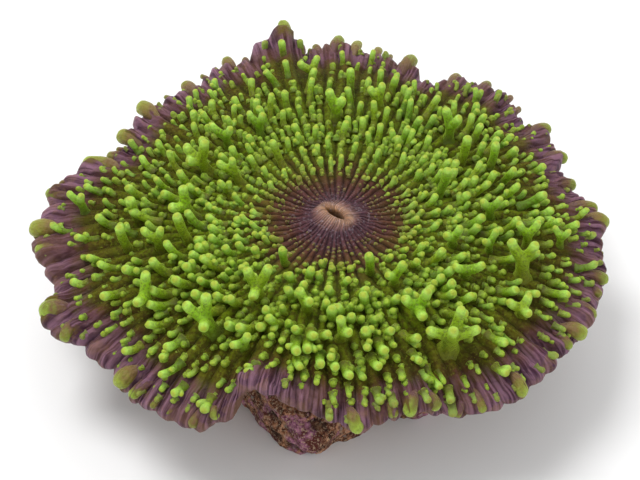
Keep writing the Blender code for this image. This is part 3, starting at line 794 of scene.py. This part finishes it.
def fork_tubes(sites):
    """Tubes of the forked and tall tentacles, and the line from foot to tip of every arm."""
    tubes = Tubes()
    dice = np.random.default_rng(SEED + 2)
    lines = []
    for foot, outward, sideways, girth, tips, radius in sites:
        tone = dice.random()
        lines += [(foot, tip, tone, radius) for tip in tips]
        root = foot - np.array([0.0, 0.0, 1.2])
        if len(tips) == 1:
            arm = girth * 0.66
            top = tips[0] - unit(tips[0] - foot) * arm
            control = foot + (top - foot) * 0.4 + outward * 0.3
            path = curved_path(root - outward * 0.6, control, top, SINGLE_STEPS)
            tubes.add(path, finger_radii(arm, SINGLE_STEPS), sideways, FORK_SIDES, radius, tone)
            continue
        knee = foot + (sum(tips) / len(tips) - foot) * 0.5
        share = np.linspace(0.0, 1.0, 7)
        path = root * (1 - share[:, None]) + knee * share[:, None]
        trunk = girth * (0.6 + 0.5 * np.exp(-((share / 0.3) ** 2)))
        tubes.add(path, trunk, sideways, FORK_SIDES, radius, tone)
        arm = min(girth * 0.56, ARM_LIMIT)
        share = np.linspace(0.0, 1.0, ARM_STEPS)
        for tip in tips:
            away = tip - knee
            top = tip - unit(away) * arm * 0.9
            control = knee + away * 0.45 + away * (0.22, 0.22, 0.0)
            path = curved_path(knee - unit(away) * 0.3, control, top, ARM_STEPS)
            tubes.add(path, arm * (1.0 + 0.22 * (1.0 - share) ** 3), sideways, FORK_SIDES, radius, tone)
    return tubes, lines


def fuse(raw):
    """Points in millimetres and faces of a piece's tubes fused into one skin. The piece is removed."""
    remesh = raw.modifiers.new("fuse", "REMESH")
    remesh.mode = "VOXEL"
    remesh.voxel_size = VOXEL * MM
    relax = raw.modifiers.new("relax", "SMOOTH")
    relax.factor = 0.5
    relax.iterations = RELAX_ROUNDS
    fused = bpy.data.meshes.new_from_object(raw.evaluated_get(bpy.context.evaluated_depsgraph_get()))
    bpy.data.objects.remove(raw)
    points = np.empty(len(fused.vertices) * 3)
    fused.vertices.foreach_get("co", points)
    faces = [tuple(face.vertices) for face in fused.polygons]
    bpy.data.meshes.remove(fused)
    return points.reshape(-1, 3) / MM, faces


def make_forks(material, sites):
    """Forked and tall tentacles, fused where their arms meet."""
    tubes, lines = fork_tubes(sites)
    points, faces = fuse(tubes.piece("raw_forks", material))
    best = np.full(len(points), np.inf)
    values = {name: np.zeros(len(points)) for name in ("rise", "apex", "ring", "tone")}
    for foot, tip, tone, radius in lines:
        line = tip - foot
        share = np.clip((points - foot) @ line / (line @ line), 0.0, 1.0)
        away = np.linalg.norm(points - foot - share[:, None] * line, axis=1)
        closer = away < best
        best = np.where(closer, away, best)
        to_tip = np.linalg.norm(points - tip, axis=1)
        ring = radius / DISC_RADIUS
        for name, value in (("rise", share), ("apex", to_tip), ("ring", ring), ("tone", tone)):
            values[name] = np.where(closer, value, values[name])
    values["painted_light_and_swell"] = np.full(len(points), FORK_PAINTED_LIGHT)
    return add_piece("tentacles_forked", points, faces, values, material, "polyp")


def make_rock(material):
    """Rough encrusted rock with its flat base and seat."""
    rows = np.linspace(*ROCK_TILTS, ROCK_ROWS)
    bearing = np.arange(ROCK_SIDES) * FULL_TURN / ROCK_SIDES
    tilt, bearing = np.meshgrid(np.radians(rows), bearing, indexing="ij")
    angle = np.radians(bearing)
    way = np.stack([np.cos(tilt) * np.cos(angle), np.cos(tilt) * np.sin(angle), np.sin(tilt)], axis=-1)
    reach = around(ROCK_REACH, bearing)[0]
    place = way * np.stack([reach, reach, np.full_like(reach, ROCK_HALF_HEIGHT)], axis=-1)
    lump = sum(lumpy(place, pitch) * depth for pitch, depth in ROCK_LUMPS)
    pits = sum(lumpy(place + 50.0, pitch) * depth for pitch, depth in ROCK_PITS)
    place = place + way * (lump + pits)[..., None]
    place[..., 2] += ROCK_MIDDLE
    place[..., 2] = np.clip(place[..., 2], 0.0, ROCK_TOP)
    ends = np.array([[0.0, 0.0, 0.0], [0.0, 0.0, ROCK_TOP]])
    points = np.concatenate([place.reshape(-1, 3), ends])
    faces = [tuple(reversed(face)) for face in grid_faces(ROCK_ROWS, ROCK_SIDES)]
    # How far the pits sink, which the rock material paints dark as shade
    values = {"pit": np.append(pits.ravel(), [0.0, 0.0])}
    return add_piece("rock_surface", points, faces, values, material, "rock")


def srgb(red, green, blue):
    """Linear colour of a display colour given from 0 to 255."""
    channels = [value / 255.0 for value in (red, green, blue)]
    linear = [c / 12.92 if c <= 0.04045 else ((c + 0.055) / 1.055) ** 2.4 for c in channels]
    return (*linear, 1.0)


class Nodes:
    """Short ways to add shader nodes to one material."""

    def __init__(self, name):
        self.material = bpy.data.materials.new(name)
        self.material.use_nodes = True
        self.tree = self.material.node_tree
        self.shader = self.tree.nodes["Principled BSDF"]

    def add(self, kind):
        """A new shader node of a kind."""
        return self.tree.nodes.new("ShaderNode" + kind)

    def link(self, source, target):
        """Join an output to an input."""
        self.tree.links.new(source, target)

    def value(self, name):
        """A surface value that the mesh carries."""
        node = self.add("Attribute")
        node.attribute_name = name
        return node.outputs["Fac"]

    def noise(self, pitch, detail=3.0, roughness=0.55):
        """Noise with lumps of about a pitch in millimetres."""
        node = self.add("TexNoise")
        node.inputs["Scale"].default_value = 1.0 / (pitch * MM)
        node.inputs["Detail"].default_value = detail
        node.inputs["Roughness"].default_value = roughness
        self.link(self.coordinates(), node.inputs["Vector"])
        return node.outputs["Fac"]

    def cells(self, pitch):
        """Distance to the middles of cells of about a pitch in millimetres."""
        node = self.add("TexVoronoi")
        node.inputs["Scale"].default_value = 1.0 / (pitch * MM)
        self.link(self.coordinates(), node.inputs["Vector"])
        return node.outputs["Distance"]

    def grey(self, value):
        """Grey colour of a value."""
        node = self.add("CombineColor")
        for name in ("Red", "Green", "Blue"):
            self.link(value, node.inputs[name])
        return node.outputs["Color"]

    def vector(self, operation, first, name, second):
        """Vector arithmetic on an output. The second value is a number, a tuple or an output."""
        node = self.add("VectorMath")
        node.operation = operation
        self.link(first, node.inputs[0])
        if isinstance(second, (float, tuple)):
            node.inputs[name].default_value = second
        elif second is not None:
            self.link(second, node.inputs[name])
        return node.outputs["Vector"]

    def streaks(self, around_count, along):
        """Noise drawn out from the middle to the margin."""
        flat = self.vector("MULTIPLY", self.coordinates(), 1, (1.0, 1.0, 0.0))
        way = self.vector("NORMALIZE", flat, 1, None)
        wide = self.vector("SCALE", way, "Scale", around_count)
        out = self.add("CombineXYZ")
        self.link(self.part(self.value("ring"), along), out.inputs["Z"])
        node = self.add("TexNoise")
        node.inputs["Scale"].default_value = 1.0
        node.inputs["Detail"].default_value = 2.0
        self.link(self.vector("ADD", wide, 1, out.outputs["Vector"]), node.inputs["Vector"])
        return node.outputs["Fac"]

    def coordinates(self):
        """Object coordinates."""
        if not hasattr(self, "place"):
            self.place = self.add("TexCoord").outputs["Object"]
        return self.place

    def colours(self, factor, stops):
        """Colour from stops of position, red, green and blue."""
        node = self.add("ValToRGB")
        elements = node.color_ramp.elements
        while len(elements) < len(stops):
            elements.new(0.5)
        for element, (position, *colour) in zip(elements, stops):
            element.position = position
            element.color = srgb(*colour)
        self.link(factor, node.inputs["Fac"])
        return node.outputs["Color"]

    def scale(self, value, low, high, to_low=0.0, to_high=1.0):
        """Map a range of a value to another range, held at its ends."""
        node = self.add("MapRange")
        for name, number in (("From Min", low), ("From Max", high), ("To Min", to_low), ("To Max", to_high)):
            node.inputs[name].default_value = number
        self.link(value, node.inputs["Value"])
        return node.outputs["Result"]

    def math(self, operation, first, second):
        """Arithmetic on two values, the second a number or an output."""
        node = self.add("Math")
        node.operation = operation
        self.link(first, node.inputs[0])
        if isinstance(second, float):
            node.inputs[1].default_value = second
        else:
            self.link(second, node.inputs[1])
        return node.outputs["Value"]

    def part(self, first, second):
        """Product of two factors."""
        return self.math("MULTIPLY", first, second)

    def wander(self, pitch, low, high, detail=3.0):
        """Noise of about a pitch in millimetres that wanders between two values."""
        return self.scale(self.noise(pitch, detail), 0.3, 0.7, low, high)

    def mix(self, factor, first, second, blend="MIX"):
        """Mix of two colours, each an output or red, green and blue."""
        node = self.add("Mix")
        node.data_type = "RGBA"
        node.blend_type = blend
        if isinstance(factor, float):
            node.inputs["Factor"].default_value = factor
        else:
            self.link(factor, node.inputs["Factor"])
        for socket, colour in ((node.inputs[6], first), (node.inputs[7], second)):
            if isinstance(colour, tuple):
                socket.default_value = srgb(*colour)
            else:
                self.link(colour, socket)
        return node.outputs[2]

    def bump(self, height, distance):
        """Bump of a height whose full range is a distance in millimetres."""
        node = self.add("Bump")
        node.inputs["Distance"].default_value = distance * MM
        node.inputs["Strength"].default_value = 1.0
        self.link(height, node.inputs["Height"])
        self.link(node.outputs["Normal"], self.shader.inputs["Normal"])

    def paint(self, colour, pitch, smooth, rough):
        """Set the colour, and a roughness that wanders between two values."""
        self.link(colour, self.shader.inputs["Base Color"])
        self.link(self.wander(pitch, smooth, rough), self.shader.inputs["Roughness"])

    def flesh(self, weight, sheen, gloss, spread=0.35, tint=(255, 255, 255)):
        """Wet translucent flesh with a sheen of a spread and tint."""
        scatter = {"Weight": weight, "Radius": SCATTER, "Scale": SCATTER_DEPTH * MM}
        for name, value in scatter.items():
            self.shader.inputs["Subsurface " + name].default_value = value
        for name, value in (("Weight", sheen), ("Roughness", spread), ("Tint", srgb(*tint))):
            self.shader.inputs["Sheen " + name].default_value = value
        self.shader.inputs["Specular IOR Level"].default_value = gloss


def disc_material():
    """Striped brown-purple middle, olive tentacle zone, purple ribs and green swollen ends."""
    nodes = Nodes("disc_flesh")
    ring = nodes.value("ring")
    drift = nodes.part(nodes.wander(3.0, -0.06, 0.06, 4.0), nodes.scale(ring, 0.07, 0.22, 0.12, 1.0))
    # The first stops darken the middle of the mouth as painted shade
    base = nodes.colours(nodes.math("ADD", ring, drift), (
        (0.0, 78, 50, 24), (0.018, 116, 76, 36), (0.026, 184, 140, 108), (0.045, 186, 148, 128),
        (0.064, 144, 106, 100), (0.09, 88, 60, 70), (0.13, 88, 54, 58), (0.19, 92, 58, 46),
        (0.27, 96, 74, 36), (0.38, 112, 126, 26), (0.48, 108, 128, 16), (0.62, 96, 112, 10),
        (0.80, 92, 90, 18), (0.88, 90, 60, 36), (0.93, 108, 68, 80), (0.97, 118, 80, 104),
        (1.0, 176, 134, 116),
    ))
    # Painted shade and light: the grooves between the ridges and between the margin's lobes are painted
    # darker as shade, and the crests lighter as light falling on them
    painted_groove_shade_and_crest_light = nodes.scale(nodes.value("crest"), 0.05, 0.95, 0.26, 1.36)
    skin = nodes.mix(0.9, base, nodes.grey(painted_groove_shade_and_crest_light), "MULTIPLY")

    # Brown patches and green flecks between the tentacles
    field = nodes.part(nodes.scale(ring, 0.28, 0.4), nodes.scale(ring, 0.9, 0.8))
    patch = nodes.scale(nodes.noise(0.7, 5.0, 0.7), 0.44, 0.58, 0.0, 0.75)
    skin = nodes.mix(nodes.part(patch, field), skin, (66, 46, 14))
    fleck = nodes.scale(nodes.noise(0.45, 4.0, 0.7), 0.56, 0.64, 0.0, 0.5)
    skin = nodes.mix(nodes.part(fleck, field), skin, (140, 156, 40))

    # Stripes on the margin, pale specks round the mouth, tan blotches at the edge
    streak = nodes.streaks(92.0, 6.0)
    striped = nodes.mix(nodes.scale(streak, 0.4, 0.6), (58, 30, 48), (172, 130, 152))
    skin = nodes.mix(nodes.scale(ring, 0.84, 0.95, 0.0, 0.72), skin, striped)
    specks = nodes.scale(nodes.noise(0.5, 2.0), 0.54, 0.7)
    skin = nodes.mix(nodes.part(specks, nodes.scale(ring, 0.22, 0.07, 0.0, 0.4)), skin, (196, 184, 196))
    blotch = nodes.scale(nodes.noise(6.0, 4.0), 0.45, 0.6)
    skin = nodes.mix(nodes.part(blotch, nodes.scale(ring, 0.84, 0.93, 0.0, 0.45)), skin, (122, 88, 52))

    # Swollen ends and underside in their own colours; the inside of the mouth painted dark brown as shade
    swollen = nodes.math("ADD", nodes.value("green"), nodes.wander(0.8, -0.12, 0.12))
    green = nodes.colours(swollen, (
        (0.25, 106, 74, 60), (0.5, 118, 98, 46), (0.75, 116, 124, 44), (1.0, 132, 152, 60),
    ))
    skin = nodes.mix(nodes.scale(swollen, 0.2, 0.5), skin, green)
    under = nodes.mix(nodes.noise(4.0), (104, 74, 58), (134, 100, 80))
    skin = nodes.mix(nodes.value("top"), under, skin)
    skin = nodes.mix(nodes.value("depth"), skin, (84, 54, 24))
    nodes.paint(skin, 1.2, 0.34, 0.54)
    margin_streak = nodes.part(streak, nodes.scale(ring, 0.7, 0.92))
    nodes.bump(nodes.math("ADD", nodes.noise(0.6, 5.0, 0.7), margin_streak), 0.85)
    nodes.flesh(0.2, 0.0, 0.14)
    return nodes.material


def tentacle_material():
    """Bright green fingers with a darker foot, partly painted shade, a pale shoulder painted as a highlight
    and a yellow spot on the end.
    """
    nodes = Nodes("tentacle_flesh")
    painted_light_and_swell = nodes.value("painted_light_and_swell")
    tone = nodes.value("tone")
    apex = nodes.value("apex")
    rise = nodes.math("ADD", nodes.value("rise"), nodes.wander(1.3, -0.1, 0.1))
    # Painted shade: short tentacles and beads are pushed down the colour ramp, darker for the shade they
    # stand in
    rise = nodes.part(rise, nodes.scale(painted_light_and_swell, 0.0, 1.2, 0.35, 1.05))
    # Darker at the foot, lighter towards the end: partly the flesh's own colour, partly painted shade at the
    # foot among the crowded tentacles
    skin = nodes.colours(rise, (
        (0.0, 78, 74, 6), (0.14, 98, 106, 8), (0.38, 122, 154, 10), (0.68, 146, 192, 16), (1.0, 172, 222, 32),
    ))
    skin = nodes.mix(nodes.scale(tone, 0.45, 0.0, 0.0, 0.45), skin, (82, 144, 30))
    skin = nodes.mix(nodes.scale(tone, 0.5, 1.0, 0.0, 0.45), skin, (150, 156, 26))
    mottle = nodes.scale(nodes.noise(0.42, 4.0, 0.65), 0.46, 0.6, 0.0, 0.72)
    skin = nodes.mix(mottle, skin, (84, 92, 6))

    # Painted highlight: a pale shoulder round the end, painted lighter for light shining through the
    # translucent tip; the yellow spot on the end is the flesh's own colour
    bright = nodes.scale(painted_light_and_swell, 0.15, 1.0, 0.0, 0.6)
    skin = nodes.mix(nodes.part(nodes.scale(apex, 2.1, 1.0), bright), skin, (192, 236, 112))
    skin = nodes.mix(nodes.part(nodes.scale(apex, 0.85, 0.35), bright), skin, (170, 168, 18))

    # Olive and brown towards the mouth, duller at the margin
    ring = nodes.math("ADD", nodes.value("ring"), nodes.wander(4.0, -0.05, 0.05))
    skin = nodes.mix(nodes.scale(ring, 0.3, 0.2), skin, (124, 118, 38))
    ring = nodes.math("SUBTRACT", ring, nodes.scale(painted_light_and_swell, BEAD_PAINTED_LIGHT, SHORT_PAINTED_LIGHT, 0.04, 0.0))
    # Brown ones are darker at the foot too, partly painted shade
    brown = nodes.mix(nodes.scale(nodes.value("rise"), 0.3, 1.0), (80, 52, 40), (136, 112, 74))
    skin = nodes.mix(nodes.scale(ring, 0.23, 0.15), skin, brown)
    skin = nodes.mix(nodes.scale(ring, 0.88, 0.95, 0.0, 0.6), skin, (104, 90, 50))
    nodes.paint(skin, 0.9, 0.3, 0.46)
    nodes.bump(nodes.noise(0.5, 4.0, 0.65), 0.42)
    nodes.flesh(0.36, 0.75, 0.4, 0.2, (206, 250, 90))
    return nodes.material


def knob_material():
    """Purple-brown ribs that turn olive and green towards their rounded ends."""
    nodes = Nodes("knob_flesh")
    rise = nodes.math("ADD", nodes.value("rise"), nodes.wander(1.0, -0.12, 0.12))
    # On the swollen ends this value is their strength, and bigger ones turn greener in their own colour
    rise = nodes.math("ADD", rise, nodes.scale(nodes.value("painted_light_and_swell"), 0.2, 1.2, -0.22, 0.18))
    skin = nodes.colours(rise, (
        (0.0, 100, 62, 72), (0.42, 104, 70, 72), (0.6, 116, 88, 56),
        (0.78, 124, 132, 42), (1.0, 152, 182, 60),
    ))
    skin = nodes.mix(nodes.scale(nodes.value("tone"), 0.5, 1.0, 0.0, 0.4), skin, (158, 142, 54))
    skin = nodes.mix(nodes.scale(nodes.noise(0.5, 3.0), 0.45, 0.65, 0.0, 0.35), skin, (96, 74, 44))
    nodes.paint(skin, 0.9, 0.3, 0.5)
    nodes.bump(nodes.math("ADD", nodes.noise(0.5, 3.0, 0.6), nodes.streaks(120.0, 4.0)), 0.35)
    nodes.flesh(0.4, 0.4, 0.3, 0.35, (220, 210, 150))
    return nodes.material


def rock_material():
    """Brown encrusted rock with purple coralline patches, pale spots and pits painted dark as shade."""
    nodes = Nodes("reef_rock_surface")
    skin = nodes.colours(nodes.noise(1.3, 8.0, 0.72), (
        (0.38, 40, 20, 14), (0.46, 96, 54, 38), (0.52, 156, 100, 70), (0.6, 226, 168, 126),
    ))
    skin = nodes.mix(nodes.scale(nodes.noise(4.0, 4.0), 0.5, 0.6), skin, (104, 50, 44))
    purple = nodes.mix(nodes.scale(nodes.noise(0.7, 4.0, 0.7), 0.35, 0.65), (100, 34, 58), (222, 152, 184))
    skin = nodes.mix(nodes.scale(nodes.noise(6.0, 5.0, 0.6), 0.53, 0.58), skin, purple)
    skin = nodes.mix(nodes.scale(nodes.noise(0.4, 3.0, 0.7), 0.53, 0.63, 0.0, 0.8), skin, (226, 196, 160))
    skin = nodes.mix(nodes.scale(nodes.cells(2.8), 0.16, 0.08, 0.0, 0.5), skin, (206, 196, 186))
    # Painted shade: the pits are painted nearly black, darker the deeper they sink
    skin = nodes.mix(nodes.scale(nodes.value("pit"), 0.0, -0.45, 0.0, 0.75), skin, (24, 15, 10))
    nodes.paint(skin, 1.5, 0.6, 0.95)
    nodes.bump(nodes.noise(0.7, 8.0, 0.75), 0.9)
    nodes.shader.inputs["Specular IOR Level"].default_value = 0.25
    return nodes.material


def add_to_scene(name, content):
    """An object in the scene, from a mesh, a lamp or a camera."""
    holder = bpy.data.objects.new(name, content)
    bpy.context.scene.collection.objects.link(holder)
    return holder


def make_stage():
    """Plain pale floor, soft light and camera."""
    low = -0.05 * MM
    corners = [(x * FLOOR_HALF, y * FLOOR_HALF, low) for x, y in ((-1, -1), (1, -1), (1, 1), (-1, 1))]
    mesh = bpy.data.meshes.new("floor")
    mesh.from_pydata(corners, [], [(0, 1, 2, 3)])
    paint = bpy.data.materials.new("floor")
    paint.use_nodes = True
    shader = paint.node_tree.nodes["Principled BSDF"]
    shader.inputs["Base Color"].default_value = (FLOOR_GREY, FLOOR_GREY, FLOOR_GREY, 1.0)
    shader.inputs["Roughness"].default_value = 0.9
    mesh.materials.append(paint)
    floor = add_to_scene("floor", mesh)

    world = bpy.data.worlds.new("studio")
    bpy.context.scene.world = world
    world.use_nodes = True
    background = world.node_tree.nodes["Background"]
    background.inputs["Color"].default_value = (1.0, 1.0, 1.0, 1.0)
    background.inputs["Strength"].default_value = WORLD_STRENGTH

    for name, place, size, power in LAMPS:
        lamp = bpy.data.lights.new(name, "AREA")
        lamp.size = size
        lamp.energy = power
        holder = add_to_scene(name, lamp)
        holder.location = place
        aim = -unit(np.array(place))
        holder.rotation_euler = (math.acos(-aim[2]), 0.0, math.atan2(aim[1], aim[0]) - math.pi / 2.0)

    lens = bpy.data.cameras.new("camera")
    lens.lens = CAMERA_LENS_MM
    camera = add_to_scene("camera", lens)
    camera.location = [value * MM for value in CAMERA_PLACE]
    camera.rotation_euler = (math.radians(90.0 - CAMERA_TILT), 0.0, 0.0)
    bpy.context.scene.camera = camera
    bpy.context.scene.view_settings.view_transform = "Standard"


make_stage()
make_disc(disc_material())
fork_places = fork_sites()
tentacle_flesh = tentacle_material()
make_tentacles(tentacle_flesh, fork_places)
make_beads(tentacle_flesh, fork_places)
make_knobs(knob_material())
make_forks(tentacle_flesh, fork_places)
make_rock(rock_material())
